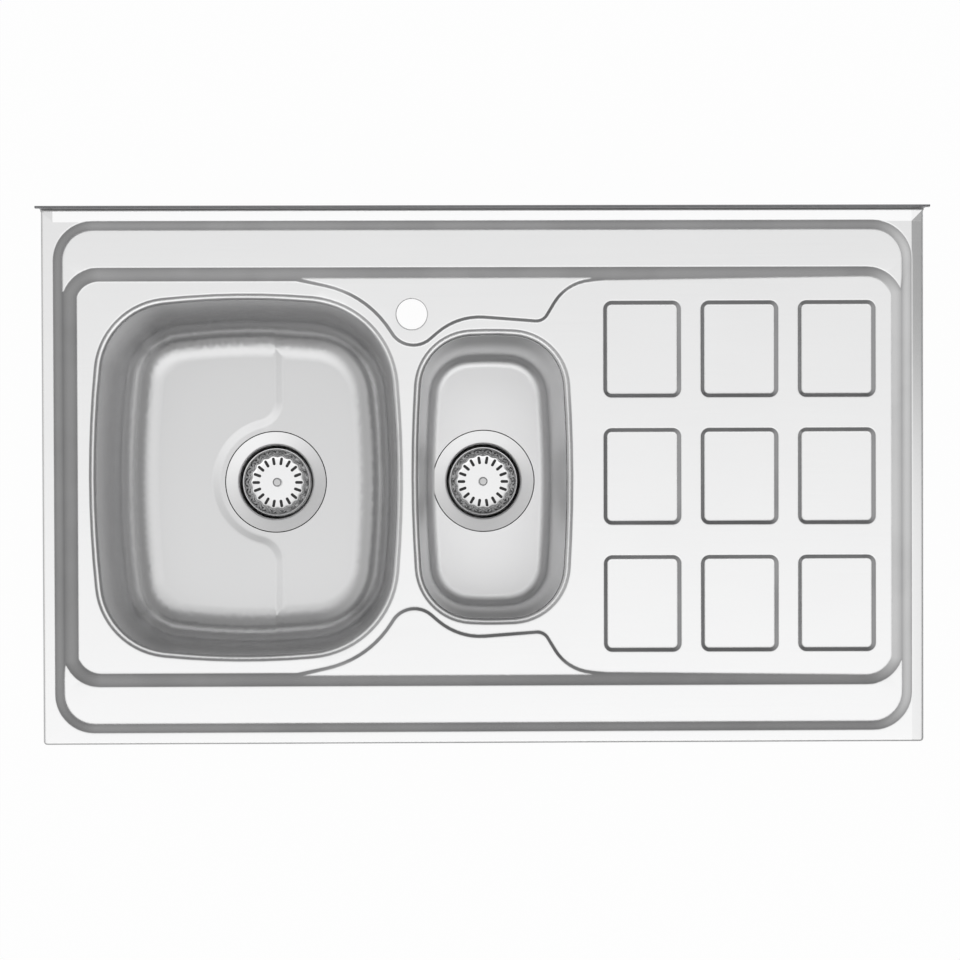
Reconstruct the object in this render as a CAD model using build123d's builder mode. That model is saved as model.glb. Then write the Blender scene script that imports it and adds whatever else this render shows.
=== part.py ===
from build123d import *
from math import acos, cos, radians, sin, sqrt, tan
import os

os.makedirs("parts", exist_ok=True)

# A lay-on kitchen sink: one large bowl, one half bowl and a drainer in a pressed steel deck.
# X runs along the deck, Y towards the wall, Z up. The deck rests on its turned-in apron at z = 0.
# All sizes are in millimetres.

# Deck sheet and its turned-down apron
DECK_LENGTH = 1000.0
DECK_DEPTH = 606.0
SHEET = 0.8
BEND = 1.6
APRON_HEIGHT = 35.0
APRON_RETURN = 14.0
APRON_CORNER = 4.0

# Overrun of a recess's cutting tool past the face that it opens
FLARE_MARGIN = 0.4
FLARE_HEIGHT = 0.4

# Lip along the back edge
LIP_HEIGHT = 16.0
LIP_COVE = 2.0
HEM_HEIGHT = 7.0
HEM_THICKNESS = 2.4
HEM_OVERHANG = 4.0
HEM_ROUND = 1.1

# Pressed steps, from the rim inwards
STEP_LEAN = 50.0
RIM_WIDTH = 13.5
OUTER_STEP = 8.0
OUTER_CORNER = 44.0
LEDGE_WIDTH = 42.0
INNER_STEP = 12.0
INNER_CORNER = 42.0
LEDGE_TIP = 2.0

# Tap and front platforms, which a curved small step divides from the bowls
PLATFORM_STEP = 2.4
PLATFORM_LEAN = 58.0
TAP_HOLE_DIAMETER = 35.0
TAP_INSET = 38.0
TAP_OFFSET = 6.0
CURVE_START_RUN = 65.0
CURVE_START_RISE = 13.6
CURVE_END_RUN = 54.0
CURVE_END_RISE = 4.7
CURVE_END_RADIUS = 8.0
SHOULDER_BACK = 39.4
SHOULDER_INSET = 15.4
SHOULDER_RADIUS = 116.0
TAP_LOBE_BACK = 4.8
TAP_LOBE_DROP = 50.3
TAP_LOBE_RADIUS = 29.0
HALF_BOWL_SHOULDER_IN = 53.3
HALF_BOWL_SHOULDER_OUT = 15.2
HALF_BOWL_SHOULDER_RADIUS = 74.0
NOTCH_IN = 34.3
NOTCH_OUT = 7.8
NOTCH_RADIUS = 14.0
DRAINER_CORNER_IN = 7.4
DRAINER_CORNER_INSET = 2.1
DRAINER_CORNER_RADIUS = 53.0

# Bowls: size of each opening, and the pressed border round it
LARGE_BOWL_LENGTH = 343.0
LARGE_BOWL_BACK_MARGIN = 21.0
LARGE_BOWL_HEIGHT = 180.0
LARGE_BOWL_SIDE_MARGIN = 20.0
LARGE_BOWL_OUTER_CORNER = 80.0
LARGE_BOWL_INNER_CORNER = 100.0
LARGE_BOWL_BOW = 15.0
LARGE_BOWL_FOOT = 42.0
SMALL_BOWL_LENGTH = 170.0
SMALL_BOWL_BACK_MARGIN = 62.0
SMALL_BOWL_HEIGHT = 165.0
SMALL_BOWL_CORNER = 60.0
SMALL_BOWL_BOW = 8.0
SMALL_BOWL_FOOT = 14.0
BOWL_BRIDGE = 25.0
BOWL_DRAFT = 4.0
BORDER_STEP = 2.0
BORDER_LEAN = 58.0
BORDER_WIDTH = 4.4
COLLAR_HEIGHT = 6.0
COLLAR_BEND = 3.6

# Drain places and the low half of the large bowl's floor
LARGE_DRAIN_OFFSET = 22.0
SMALL_DRAIN_OFFSET = -6.0
FLOOR_STEP = 2.2
FLOOR_STEP_LEAN = 76.0
FLOOR_STEP_OFFSET = 4.0
FLOOR_LOBE_RADIUS = 73.0
FLOOR_LOBE_BLEND = 28.0
FLOOR_BEND = 12.0
FLOOR_BLEND_HEIGHT = 28.0

# Drainer with its grid of shallow panels
DRAINER_GAP = 17.1
DRAINER_RISE = 3.5
PANEL_COLUMNS = 3
PANEL_ROWS = 3
PANEL_GAP_X = 22.6
PANEL_GAP_Y = 35.0
PANEL_LEFT_MARGIN = 17.6
PANEL_RIGHT_MARGIN = 13.9
PANEL_END_MARGIN = 23.0
PANEL_CORNER = 9.5
PANEL_STEP = 3.6
PANEL_LEAN = 50.0
PANEL_BEND = 1.0

# Damping pads and drainer stiffeners under the sink
PAD_THICKNESS = 2.5
PAD_GLUE_GAP = 0.05
WALL_PAD_LENGTH = 150.0
WALL_PAD_HEIGHT = 70.0
WALL_PAD_DROP = 30.0
WALL_PAD_CORNER = 12.0
SMALL_WALL_PAD_WIDTH = 140.0
PAD_EDGE_GAP = 4.0
FLOOR_PAD_WIDTH = 190.0
FLOOR_PAD_CORNER = 12.0
STIFFENER_WIDTH = 16.0
STIFFENER_HEIGHT = 12.0
STIFFENER_SHEET = 1.2
STIFFENER_END_GAP = 24.0

# Waste flange and its seat in the bowl floor
FLANGE_DIAMETER = 122.0
FLANGE_SHEET = 0.8
FLANGE_EDGE_GAP = 0.4
THROAT_DIAMETER = 90.0
THROAT_BEND = 3.0
CUP_DEPTH = 36.0
CUP_FOOT = 4.0
CUP_CLEARANCE = 1.2
SEAT_FLARE = 0.8
SEAT_SLOPE = 14.5
OUTLET_HOLES = 6
OUTLET_HOLE_DIAMETER = 15.0
OUTLET_HOLE_CIRCLE = 46.0
FLANGE_GASKET = 1.4
BODY_GASKET = 2.4
GASKET_INSET = 1.4
FACE_GAP = 0.04

# Plastic waste body, pipe socket and coupling nut
BODY_WALL = 3.0
BODY_CLEARANCE = 1.6
BODY_FLANGE_WIDTH = 8.0
BODY_FLANGE_THICKNESS = 4.0
BODY_CUP_GAP = 6.0
FUNNEL_HEIGHT = 18.0
PIPE_DIAMETER = 40.0
PIPE_CLEARANCE = 0.2
PIPE_STOP = 1.7
PIPE_STOP_LENGTH = 4.0
SOCKET_LENGTH = 40.0
SOCKET_WALL = 3.7
BOSS_DIAMETER = 16.0
BOSS_LENGTH = 14.0
SPIDER_ARMS = 4
SPIDER_THICKNESS = 3.0
NUT_CLEARANCE = 0.2
NUT_WALL = 5.6
NUT_HEIGHT = 24.0
NUT_LIP = 3.5
NUT_RIBS = 8
NUT_RIB_SIZE = 4.0
NUT_ROUND = 1.0
NUT_BORE_CLEARANCE = 1.5
WASHER_THICKNESS = 2.4

# Clamp screw and its insert
SCREW_DIAMETER = 6.0
SCREW_HEAD_DIAMETER = 12.0
SCREW_HEAD_HEIGHT = 1.6
SCREW_SLOT = 1.2
SCREW_SLOT_DEPTH = 0.8
SCREW_HEAD_ROUND = 0.8
SCREW_FIT = 0.1
INSERT_WALL = 2.0
THREAD_GAP = 0.05

# Strainer basket
BASKET_GAP = 3.4
BASKET_SHEET = 0.7
BASKET_HEIGHT = 19.0
BASKET_FLOOR_DIAMETER = 66.0
BASKET_FOOT = 4.0
BASKET_RIM_ROLL = 1.1
BASKET_SLOTS = 18
BASKET_SLOT_WIDTH = 3.4
BASKET_SLOT_INNER = 22.0
BASKET_SLOT_OUTER = 32.5
PIN_DIAMETER = 11.0
PIN_HEIGHT = 11.0
PIN_DOME = 2.2
PIN_STEM_DIAMETER = 5.0
PIN_FIT = 0.1
PLUG_DIAMETER = 68.0
PLUG_THICKNESS = 7.0
PLUG_WEB = 2.4
PLUG_CHAMFER = 2.4
PLUG_RECESS_DIAMETER = 17.0
PLUG_SEAT_GAP = 0.3
BASKET_NUT_DIAMETER = 10.0
BASKET_NUT_HEIGHT = 2.0
BASKET_NUT_SIDES = 6

# Levels of the deck
RIM_Z = APRON_HEIGHT
LEDGE_Z = RIM_Z - OUTER_STEP
FLOOR_Z = LEDGE_Z - INNER_STEP
PLATFORM_Z = FLOOR_Z + PLATFORM_STEP
BORDER_Z = FLOOR_Z - BORDER_STEP
COLLAR_Z = BORDER_Z - COLLAR_HEIGHT

# Plan of the deck: half sizes of the pocket outlines at their upper edges
OUTER_RUN = OUTER_STEP * tan(radians(STEP_LEAN))
INNER_RUN = INNER_STEP * tan(radians(STEP_LEAN))
PLATFORM_RUN = PLATFORM_STEP * tan(radians(PLATFORM_LEAN))
BORDER_RUN = BORDER_STEP * tan(radians(BORDER_LEAN))
OUTER_HALF_X = DECK_LENGTH / 2 - RIM_WIDTH
OUTER_HALF_Y = DECK_DEPTH / 2 - RIM_WIDTH
INNER_HALF_X = OUTER_HALF_X - OUTER_RUN + LEDGE_TIP
INNER_HALF_Y = OUTER_HALF_Y - OUTER_RUN - LEDGE_WIDTH
FLOOR_HALF_X = OUTER_HALF_X - OUTER_RUN - INNER_RUN
FLOOR_HALF_Y = INNER_HALF_Y - INNER_RUN

# Plan of the bowls and the drainer
LARGE_BOWL_DEPTH = 2 * (FLOOR_HALF_Y - LARGE_BOWL_BACK_MARGIN)
SMALL_BOWL_DEPTH = 2 * (FLOOR_HALF_Y - SMALL_BOWL_BACK_MARGIN)
LARGE_BOWL_X = -FLOOR_HALF_X + LARGE_BOWL_SIDE_MARGIN + LARGE_BOWL_LENGTH / 2
LARGE_BOWL_RIGHT = LARGE_BOWL_X + LARGE_BOWL_LENGTH / 2
SMALL_BOWL_LEFT = LARGE_BOWL_RIGHT + BOWL_BRIDGE
SMALL_BOWL_X = SMALL_BOWL_LEFT + SMALL_BOWL_LENGTH / 2
SMALL_BOWL_RIGHT = SMALL_BOWL_LEFT + SMALL_BOWL_LENGTH
BORDER_REACH = BORDER_WIDTH + BORDER_RUN
TAP_X = (LARGE_BOWL_RIGHT + SMALL_BOWL_LEFT) / 2 + TAP_OFFSET
TAP_Y = FLOOR_HALF_Y - TAP_INSET
DRAINER_LEFT = SMALL_BOWL_RIGHT + BORDER_REACH + DRAINER_GAP
DRAINER_LENGTH = FLOOR_HALF_X - DRAINER_LEFT
DRAINER_SLOPE = DRAINER_RISE / DRAINER_LENGTH
PANEL_SPAN_X = DRAINER_LENGTH - PANEL_LEFT_MARGIN - PANEL_RIGHT_MARGIN
PANEL_SPAN_Y = 2 * (FLOOR_HALF_Y - PANEL_END_MARGIN)
PANEL_PITCH_X = (PANEL_SPAN_X + PANEL_GAP_X) / PANEL_COLUMNS
PANEL_PITCH_Y = (PANEL_SPAN_Y + PANEL_GAP_Y) / PANEL_ROWS
PANEL_LENGTH = PANEL_PITCH_X - PANEL_GAP_X
PANEL_WIDTH = PANEL_PITCH_Y - PANEL_GAP_Y

# Cone seat of a waste in its bowl floor
SEAT_RADIUS = FLANGE_DIAMETER / 2 + FLANGE_EDGE_GAP
SEAT_TOP_RADIUS = SEAT_RADIUS + SEAT_FLARE
SEAT_RIM_DROP = FLANGE_GASKET + FLANGE_SHEET + 2 * FACE_GAP
SEAT_HOLE_RADIUS = THROAT_DIAMETER / 2 + FLANGE_SHEET + CUP_CLEARANCE
FLOOR_STEP_RUN = FLOOR_STEP * tan(radians(FLOOR_STEP_LEAN))

# Levels and places of the drains
LARGE_FLOOR_Z = FLOOR_Z - LARGE_BOWL_HEIGHT
SMALL_FLOOR_Z = FLOOR_Z - SMALL_BOWL_HEIGHT
LARGE_DRAIN_X = LARGE_BOWL_X + LARGE_DRAIN_OFFSET
SMALL_DRAIN_X = SMALL_BOWL_X + SMALL_DRAIN_OFFSET
DRAINS = {
    "large": (LARGE_DRAIN_X, LARGE_FLOOR_Z),
    "small": (SMALL_DRAIN_X, SMALL_FLOOR_Z),
}


def half_bend(lean):
    """Tangent of half the angle that a sheet turns through at the edge of a leaning wall."""
    return tan(radians(90 - lean) / 2)


def pocket(outline, widen, depth, lean, crest, foot, top):
    """Air over a pressed recess: a rounded crest at the outline, leaning walls and a rounded foot."""
    with BuildPart() as air:
        extrude(outline(widen), amount=depth, taper=lean)
        if foot:
            fillet(air.faces().sort_by(Axis.Z)[-1].edges(), foot)
        extrude(outline(widen + crest * half_bend(lean) + FLARE_MARGIN), amount=-FLARE_HEIGHT)
        flare = air.faces().filter_by(lambda face: len(face.inner_wires()) > 0).first
        fillet(flare.inner_wires()[0].edges(), crest)
    return air.part.rotate(Axis.X, 180).moved(Location((0, 0, top)))


def rounded_outline(half_x, half_y, radius):
    """A rounded rectangle about the middle of the deck."""
    with BuildSketch() as outline:
        RectangleRounded(2 * half_x, 2 * half_y, radius)
    return outline.sketch


def outer_outline(grow):
    """Upper edge of the outer step."""
    return rounded_outline(OUTER_HALF_X + grow, OUTER_HALF_Y + grow, OUTER_CORNER + grow)


def inner_outline(grow):
    """Upper edge of the inner step, whose sides lie just inside the outer step's slope."""
    return rounded_outline(INNER_HALF_X + grow, INNER_HALF_Y + grow, INNER_CORNER + grow)


def panel_outline(grow):
    """Upper edge of one shallow drainer panel, about its own middle."""
    return rounded_outline(PANEL_LENGTH / 2 + grow, PANEL_WIDTH / 2 + grow, PANEL_CORNER + grow)


def bowl_outline(centre_x, length, depth, bow, left_corner, right_corner, grow):
    """A bowl's opening: four slightly bowed sides with rounded corners, grown all round."""
    half_x = length / 2 + grow
    half_y = depth / 2 + grow
    with BuildSketch() as outline:
        with BuildLine():
            left_back = (centre_x - half_x + bow, half_y - bow)
            right_back = (centre_x + half_x - bow, half_y - bow)
            right_front = (centre_x + half_x - bow, bow - half_y)
            left_front = (centre_x - half_x + bow, bow - half_y)
            ThreePointArc(left_front, (centre_x, -half_y), right_front)
            ThreePointArc(right_front, (centre_x + half_x, 0), right_back)
            ThreePointArc(right_back, (centre_x, half_y), left_back)
            ThreePointArc(left_back, (centre_x - half_x, 0), left_front)
        make_face()
        fillet(outline.vertices().group_by(Axis.X)[-1], right_corner + grow)
        fillet(outline.vertices().group_by(Axis.X)[0], left_corner + grow)
    return outline.sketch


def large_bowl_outline(grow):
    """The large bowl's opening, with its tighter corners at the outer side."""
    return bowl_outline(LARGE_BOWL_X, LARGE_BOWL_LENGTH, LARGE_BOWL_DEPTH, LARGE_BOWL_BOW,
                        LARGE_BOWL_OUTER_CORNER, LARGE_BOWL_INNER_CORNER, grow)


def small_bowl_outline(grow):
    """The half bowl's opening."""
    return bowl_outline(SMALL_BOWL_X, SMALL_BOWL_LENGTH, SMALL_BOWL_DEPTH, SMALL_BOWL_BOW,
                        SMALL_BOWL_CORNER, SMALL_BOWL_CORNER, grow)


def platform_curve(side):
    """Corners of the middle line of a platform's small step, at the back (1) or front (-1)."""
    shoulder = (LARGE_BOWL_RIGHT + BORDER_REACH - SHOULDER_BACK, FLOOR_HALF_Y - SHOULDER_INSET)
    lobe = (TAP_X - TAP_LOBE_BACK, TAP_Y - TAP_LOBE_DROP)
    half_bowl_back = SMALL_BOWL_DEPTH / 2 + BORDER_REACH
    half_bowl_shoulder = (SMALL_BOWL_LEFT - BORDER_REACH + HALF_BOWL_SHOULDER_IN,
                          half_bowl_back + HALF_BOWL_SHOULDER_OUT)
    notch = (SMALL_BOWL_RIGHT + BORDER_REACH - NOTCH_IN, half_bowl_back + NOTCH_OUT)
    drainer_corner = (SMALL_BOWL_RIGHT + BORDER_REACH - DRAINER_CORNER_IN,
                      FLOOR_HALF_Y - DRAINER_CORNER_INSET)
    start = (shoulder[0] - 2 * CURVE_START_RUN, shoulder[1] + 2 * CURVE_START_RISE)
    end = (drainer_corner[0] + CURVE_END_RUN, drainer_corner[1] + CURVE_END_RISE)
    corners = [start, shoulder, lobe, half_bowl_shoulder, notch, drainer_corner, end]
    return [(x, side * y) for x, y in corners]


def lower_panel_outline(grow):
    """The area round the bowls that lies lower than both platforms, grown all round."""
    radii = [SHOULDER_RADIUS, TAP_LOBE_RADIUS, HALF_BOWL_SHOULDER_RADIUS, NOTCH_RADIUS, DRAINER_CORNER_RADIUS]
    back = platform_curve(1)
    front = platform_curve(-1)
    ends = [CURVE_END_RADIUS]
    with BuildSketch() as outline:
        with BuildLine():
            all_radii = ends + radii + 2 * ends + radii[::-1] + ends
            FilletPolyline(*back, *front[::-1], radius=all_radii, close=True)
        make_face()
        offset(amount=PLATFORM_RUN / 2 + grow)
    return outline.sketch


def drainer_plane(drop):
    """The tilted plane of the drainer, at the middle of its panels, one drop below the upper skin."""
    middle = (DRAINER_LEFT + PANEL_LEFT_MARGIN + FLOOR_HALF_X - PANEL_RIGHT_MARGIN) / 2
    level = FLOOR_Z + (middle - DRAINER_LEFT) * DRAINER_SLOPE - drop
    return Plane(origin=(middle, 0, level), x_dir=(1, 0, DRAINER_SLOPE), z_dir=(-DRAINER_SLOPE, 0, 1))


def panel_centres():
    """Centres of the drainer's shallow panels, in the drainer's own plane."""
    grid = GridLocations(PANEL_PITCH_X, PANEL_PITCH_Y, PANEL_COLUMNS, PANEL_ROWS)
    return [place.position for place in grid.local_locations]


def formed_block(drop):
    """All that lies below one skin of the deck: the upper skin, or the underside one drop lower."""
    widen = drop * half_bend(STEP_LEAN)
    crest = BEND + SHEET - drop
    foot = BEND + drop
    root_z = FLOOR_Z - drop - PLATFORM_STEP
    with BuildPart() as ledges:
        with BuildSketch(Plane.XY.offset(root_z)):
            Rectangle(2 * (INNER_HALF_X + LEDGE_TIP), 2 * OUTER_HALF_Y)
        extrude(amount=LEDGE_Z - drop - root_z)
        add(pocket(inner_outline, widen, INNER_STEP, STEP_LEAN, crest, foot, LEDGE_Z - drop),
            mode=Mode.SUBTRACT)
    with BuildPart() as platforms:
        left_x = platform_curve(1)[0][0] + CURVE_END_RADIUS
        right_x = platform_curve(1)[-1][0] - CURVE_END_RADIUS
        with BuildSketch(Plane.XY.offset(root_z)):
            with Locations(((left_x + right_x) / 2, 0)):
                Rectangle(right_x - left_x, 2 * INNER_HALF_Y)
        extrude(amount=PLATFORM_Z - drop - root_z)
        add(pocket(lower_panel_outline, drop * half_bend(PLATFORM_LEAN), PLATFORM_STEP, PLATFORM_LEAN,
                   crest, foot, PLATFORM_Z - drop), mode=Mode.SUBTRACT)
    with BuildPart() as block:
        front_y = drop - DECK_DEPTH / 2
        back_y = DECK_DEPTH / 2 - LIP_COVE - SHEET + 2 * drop
        with BuildSketch(Plane.XY.offset(-drop)):
            with Locations((0, (front_y + back_y) / 2)):
                Rectangle(DECK_LENGTH - 2 * drop, back_y - front_y)
        extrude(amount=RIM_Z)
        fillet(block.edges().filter_by(Axis.Z).group_by(Axis.Y)[0], APRON_CORNER - drop)
        fillet(block.faces().sort_by(Axis.Z)[-1].edges().sort_by(Axis.Y)[:-1], crest)
        add(pocket(outer_outline, widen, OUTER_STEP + INNER_STEP, STEP_LEAN, crest, foot, RIM_Z - drop),
            mode=Mode.SUBTRACT)
        add(ledges.part)
        add(platforms.part)
        with BuildSketch(Plane.XZ.offset(-INNER_HALF_Y)):
            with BuildLine():
                ramp_end = INNER_HALF_X + LEDGE_TIP
                ramp_top = FLOOR_Z - drop + (ramp_end - DRAINER_LEFT) * DRAINER_SLOPE
                Polyline((DRAINER_LEFT, FLOOR_Z - drop), (DRAINER_LEFT, root_z), (ramp_end, root_z),
                         (ramp_end, ramp_top), close=True)
            make_face()
        extrude(amount=2 * INNER_HALF_Y)
        border_widen = BORDER_REACH + drop * half_bend(BORDER_LEAN)
        collar_crest = COLLAR_BEND + SHEET - drop
        for opening in (large_bowl_outline, small_bowl_outline):
            add(pocket(opening, border_widen, BORDER_STEP, BORDER_LEAN, crest, foot, FLOOR_Z - drop),
                mode=Mode.SUBTRACT)
            add(pocket(opening, drop, APRON_HEIGHT, 0, collar_crest, 0, BORDER_Z - drop), mode=Mode.SUBTRACT)
        panel_air = pocket(panel_outline, drop * half_bend(PANEL_LEAN), PANEL_STEP, PANEL_LEAN,
                           PANEL_BEND + SHEET - drop, PANEL_BEND + drop, 0)
        for centre in panel_centres():
            add(panel_air.moved(drainer_plane(drop).location * Location(centre)), mode=Mode.SUBTRACT)
    return block.part


def turned(plane, points, rounds=()):
    """A closed section in radius and height, with some of its corners rounded."""
    with BuildSketch(plane) as section:
        with BuildLine():
            Polyline(*points, close=True)
        make_face()
        for corner, radius in rounds:
            fillet(section.vertices().sort_by_distance(corner)[0], radius)
    return section.sketch


def drafted(outline, widen, depth):
    """A block with a bowl's drafted walls, upside down: it narrows upwards from the outline."""
    narrow = widen - depth * tan(radians(BOWL_DRAFT))
    with BuildPart() as block:
        loft([outline(widen).face(), outline(narrow).face().moved(Location((0, 0, depth)))], ruled=True)
    return block.part


def bowl_form(outline, widen, depth, foot):
    """A bowl's volume below the collar: drafted walls and a rounded floor."""
    with BuildPart() as form:
        add(drafted(outline, widen, depth))
        fillet(form.faces().sort_by(Axis.Z)[-1].edges(), foot)
    return form.part.rotate(Axis.X, 180).moved(Location((0, 0, COLLAR_Z)))


def low_floor_outline(grow):
    """The low side of the large bowl's floor: a straight edge that swings round the drain."""
    edge_x = LARGE_DRAIN_X + FLOOR_STEP_OFFSET
    far_x = edge_x + LARGE_BOWL_LENGTH
    far_y = LARGE_BOWL_DEPTH
    blend_x = FLOOR_STEP_OFFSET - FLOOR_LOBE_BLEND
    spread = FLOOR_LOBE_RADIUS + FLOOR_LOBE_BLEND
    blend_y = sqrt(spread ** 2 - blend_x ** 2)
    touch = (LARGE_DRAIN_X + blend_x * FLOOR_LOBE_RADIUS / spread, blend_y * FLOOR_LOBE_RADIUS / spread)
    half_turn = acos(-blend_x / spread) / 2
    swing = (LARGE_DRAIN_X + blend_x + FLOOR_LOBE_BLEND * cos(half_turn),
             blend_y - FLOOR_LOBE_BLEND * sin(half_turn))
    with BuildSketch() as outline:
        with BuildLine():
            Polyline((edge_x, -blend_y), (edge_x, -far_y), (far_x, -far_y), (far_x, far_y),
                     (edge_x, far_y), (edge_x, blend_y))
            ThreePointArc((edge_x, blend_y), swing, touch)
            ThreePointArc(touch, (LARGE_DRAIN_X - FLOOR_LOBE_RADIUS, 0), (touch[0], -touch[1]))
            ThreePointArc((touch[0], -touch[1]), (swing[0], -swing[1]), (edge_x, -blend_y))
        make_face()
        offset(amount=FLOOR_STEP_RUN / 2 + grow)
    return outline.sketch


def large_bowl_form(drop):
    """The large bowl's volume inside one skin, with the low side of its floor."""
    depth = COLLAR_Z - LARGE_FLOOR_Z + drop
    step_top = LARGE_FLOOR_Z + FLOOR_STEP - drop
    widen = drop * half_bend(FLOOR_STEP_LEAN)
    with BuildPart() as form:
        add(pocket(low_floor_outline, widen, FLOOR_STEP, FLOOR_STEP_LEAN, FLOOR_BEND + SHEET - drop,
                   FLOOR_BEND + drop, step_top))
        extrude(low_floor_outline(widen).moved(Location((0, 0, step_top))), amount=FLOOR_BLEND_HEIGHT)
        low_foot = LARGE_BOWL_FOOT + FLOOR_STEP + drop
        add(bowl_form(large_bowl_outline, drop, depth, low_foot), mode=Mode.INTERSECT)
        add(bowl_form(large_bowl_outline, drop, depth - FLOOR_STEP, LARGE_BOWL_FOOT + drop))
    return form.part


def small_bowl_form(drop):
    """The half bowl's volume inside one skin."""
    return bowl_form(small_bowl_outline, drop, COLLAR_Z - SMALL_FLOOR_Z + drop, SMALL_BOWL_FOOT + drop)


def drain_plane(name):
    """Upright plane through a drain's axis: radius to the right, height above the bowl floor up."""
    drain_x, floor_z = DRAINS[name]
    return Plane(origin=(drain_x, 0, floor_z), x_dir=(1, 0, 0), z_dir=(0, -1, 0))


def drain_axis(name):
    """A drain's upright axis."""
    return Axis((DRAINS[name][0], 0, 0), (0, 0, 1))


def seat_z(radius):
    """Height of the waste's cone seat in the bowl floor."""
    return -SEAT_RIM_DROP - (SEAT_RADIUS - radius) * tan(radians(SEAT_SLOPE))


def finish(piece, name):
    """Label one finished piece and write it."""
    piece.label = name
    export_step(piece, "parts/" + name + ".step")


# Pressed deck: the sheet between its two skins, its turned-in apron, back lip and tap hole
with BuildPart() as sink_deck:
    back_edge = DECK_DEPTH / 2 - LIP_COVE - SHEET
    apron_inner = DECK_LENGTH - 2 * APRON_RETURN
    add(formed_block(0))
    add(formed_block(SHEET), mode=Mode.SUBTRACT)
    with BuildSketch():
        with Locations((0, APRON_RETURN)):
            Rectangle(apron_inner, DECK_DEPTH)
    extrude(amount=COLLAR_Z, mode=Mode.SUBTRACT)
    with BuildSketch() as apron_return:
        with Locations((0, (back_edge - DECK_DEPTH / 2) / 2)):
            Rectangle(DECK_LENGTH, back_edge + DECK_DEPTH / 2)
        fillet(apron_return.vertices().group_by(Axis.Y)[0], APRON_CORNER)
        with Locations((0, APRON_RETURN)):
            Rectangle(apron_inner, DECK_DEPTH, mode=Mode.SUBTRACT)
    extrude(amount=SHEET)
    with BuildSketch(Plane.YZ) as lip:
        with BuildLine():
            cove_z = RIM_Z + LIP_COVE
            lip_top = RIM_Z + LIP_HEIGHT
            lip_back = DECK_DEPTH / 2
            lip_front = lip_back - SHEET
            RadiusArc((back_edge, RIM_Z - SHEET), (lip_back, cove_z), -(LIP_COVE + SHEET))
            Polyline((lip_back, cove_z), (lip_back, lip_top), (lip_front, lip_top), (lip_front, cove_z))
            RadiusArc((lip_front, cove_z), (back_edge, RIM_Z), LIP_COVE)
            Line((back_edge, RIM_Z), (back_edge, RIM_Z - SHEET))
        make_face()
    extrude(amount=DECK_LENGTH / 2, both=True)
    with BuildSketch(Plane.YZ) as hem:
        with Locations((lip_front + HEM_THICKNESS / 2, lip_top - HEM_HEIGHT / 2)):
            RectangleRounded(HEM_THICKNESS, HEM_HEIGHT, HEM_ROUND)
    extrude(amount=DECK_LENGTH / 2 + HEM_OVERHANG, both=True)
    with BuildSketch(Plane.XY.offset(PLATFORM_Z + BEND)):
        with Locations((TAP_X, TAP_Y)):
            Circle(TAP_HOLE_DIAMETER / 2)
    extrude(amount=-2 * (BEND + SHEET), mode=Mode.SUBTRACT)
finish(sink_deck.part, "sink_deck")

# Bowls: drawn shells that meet the deck's collars edge to edge, each with a cone seat and hole for its waste
for bowl_name, bowl_volume in (("large", large_bowl_form), ("small", small_bowl_form)):
    with BuildPart() as bowl:
        add(bowl_volume(SHEET))
        revolve(turned(drain_plane(bowl_name), [
            (0, 0), (SEAT_TOP_RADIUS + SHEET / 2, 0), (SEAT_TOP_RADIUS + SHEET / 2, -SHEET),
            (SEAT_RADIUS + SHEET / 2, -SEAT_RIM_DROP - SHEET),
            (SEAT_HOLE_RADIUS, seat_z(SEAT_HOLE_RADIUS) - SHEET),
            (0, seat_z(SEAT_HOLE_RADIUS) - SHEET)]), axis=drain_axis(bowl_name))
        add(bowl_volume(0), mode=Mode.SUBTRACT)
        revolve(turned(drain_plane(bowl_name), [
            (0, SHEET), (SEAT_TOP_RADIUS, SHEET), (SEAT_TOP_RADIUS, 0), (SEAT_RADIUS, -SEAT_RIM_DROP),
            (SEAT_HOLE_RADIUS, seat_z(SEAT_HOLE_RADIUS)), (SEAT_HOLE_RADIUS, -CUP_DEPTH), (0, -CUP_DEPTH)]),
            axis=drain_axis(bowl_name), mode=Mode.SUBTRACT)
    finish(bowl.part, bowl_name + "_bowl")


def wall_pads(bowl_outline_at, centre, length, width):
    """Pads that follow the outside of a bowl's walls, inside an upright box about a centre."""
    skin = SHEET + PAD_GLUE_GAP
    reach = WALL_PAD_DROP + WALL_PAD_HEIGHT
    with BuildPart() as pads:
        add(drafted(bowl_outline_at, skin + PAD_THICKNESS, reach))
        add(drafted(bowl_outline_at, skin, reach), mode=Mode.SUBTRACT)
        with BuildSketch(Plane.XY.offset(WALL_PAD_DROP)):
            with Locations(centre):
                RectangleRounded(length, width, WALL_PAD_CORNER)
        extrude(amount=WALL_PAD_HEIGHT, mode=Mode.INTERSECT)
    return pads.part.rotate(Axis.X, 180).moved(Location((0, 0, COLLAR_Z)))


# Damping pads glued to the outside of the bowls: walls of both, and the high side of the large floor
with BuildPart() as large_bowl_damping_pads:
    add(wall_pads(large_bowl_outline, (LARGE_BOWL_X, 0), WALL_PAD_LENGTH, 2 * LARGE_BOWL_DEPTH))
    draft_run = (COLLAR_Z - LARGE_FLOOR_Z) * tan(radians(BOWL_DRAFT))
    flat_left = LARGE_BOWL_X - LARGE_BOWL_LENGTH / 2 + draft_run + LARGE_BOWL_FOOT
    flat_right = LARGE_DRAIN_X - FLOOR_LOBE_RADIUS - FLOOR_STEP_RUN
    with BuildSketch(Plane.XY.offset(LARGE_FLOOR_Z + FLOOR_STEP - SHEET - PAD_GLUE_GAP)):
        with Locations(((flat_left + flat_right) / 2, 0)):
            RectangleRounded(flat_right - flat_left - 2 * PAD_EDGE_GAP, FLOOR_PAD_WIDTH, FLOOR_PAD_CORNER)
    extrude(amount=-PAD_THICKNESS)
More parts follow.
